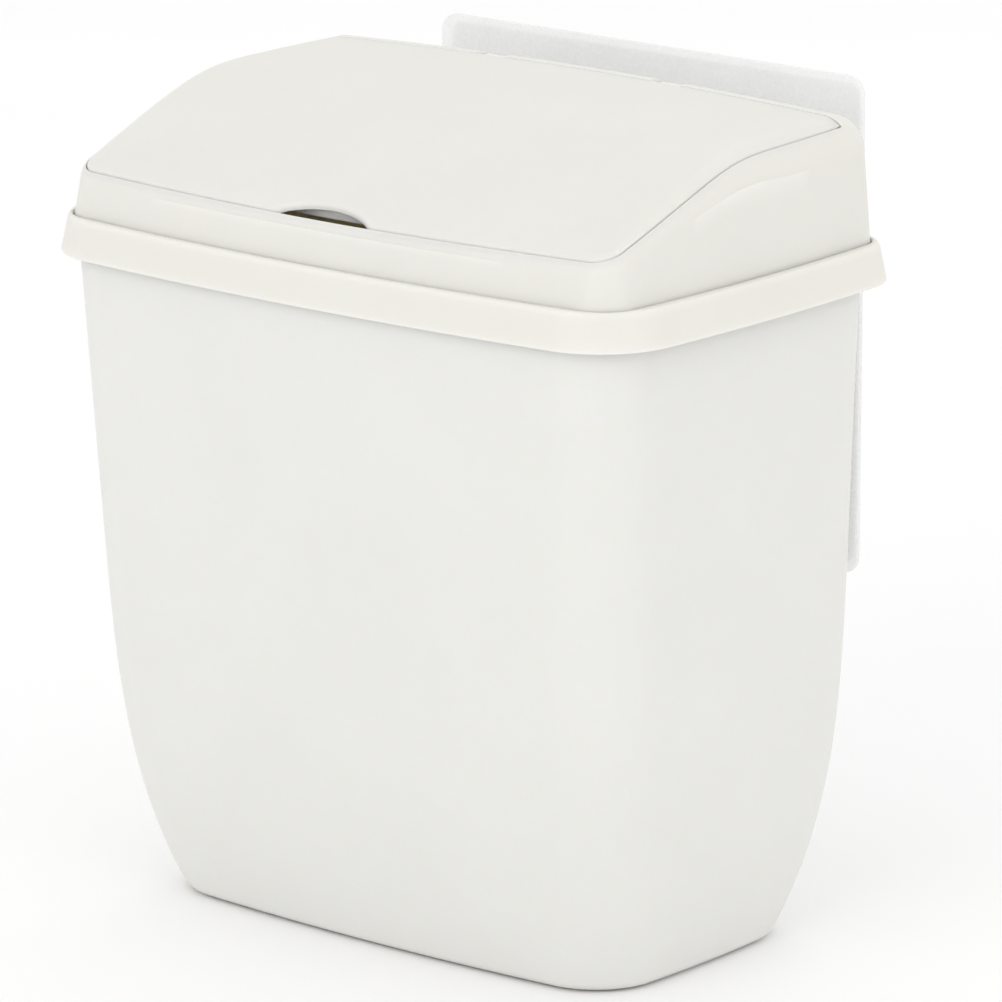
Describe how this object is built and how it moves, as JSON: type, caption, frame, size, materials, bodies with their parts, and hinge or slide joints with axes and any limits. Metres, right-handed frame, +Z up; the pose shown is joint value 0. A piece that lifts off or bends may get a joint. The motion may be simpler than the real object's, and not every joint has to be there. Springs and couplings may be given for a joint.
{
  "type": "wall-hung flip-lid waste bin",
  "caption": "Small plastic waste bin with a press ring, a sloped flip-up lid flap with finger notch, hung by back pockets on a clear adhesive wall plate with hooks.",
  "frame": {"origin": "centre of the adhesive pad's back face, which sits on the wall", "axes": "+Z up, +Y into the wall, +X to the right as seen from the front"},
  "size_m": [0.2462, 0.1753, 0.2741],
  "materials": {
    "body_plastic": "fine matte grain",
    "lid_plastic": "fine matte grain",
    "clear_sheet": "clear, slightly milky sheet",
    "adhesive": "translucent adhesive film",
    "pin_steel": "drawn wire"
  },
  "bodies": {
    "wall": {"wall_plate": "clear_sheet", "adhesive_pad": "adhesive", "hook_left": "body_plastic", "hook_right": "body_plastic"},
    "bin": {"bin_body": "body_plastic"},
    "top": {"rim_collar": "lid_plastic", "lid_cover": "lid_plastic", "hinge_pin_left": "pin_steel", "hinge_pin_right": "pin_steel"},
    "flap": {"flap": "lid_plastic"}
  },
  "joints": [
    {"name": "bin_lift", "type": "slide", "parent": "wall", "child": "bin", "axis": [0, 0, 1], "range_m": [0, 0.046]},
    {"name": "top_lift", "type": "slide", "parent": "bin", "child": "top", "axis": [0, 0, 1], "range_m": [0, 0.05]},
    {"name": "flap_hinge", "type": "hinge", "parent": "top", "child": "flap", "pos_m": [0, -0.0342, 0.0758], "axis": [-1, 0, 0], "range_deg": [0, 104]}
  ]
}
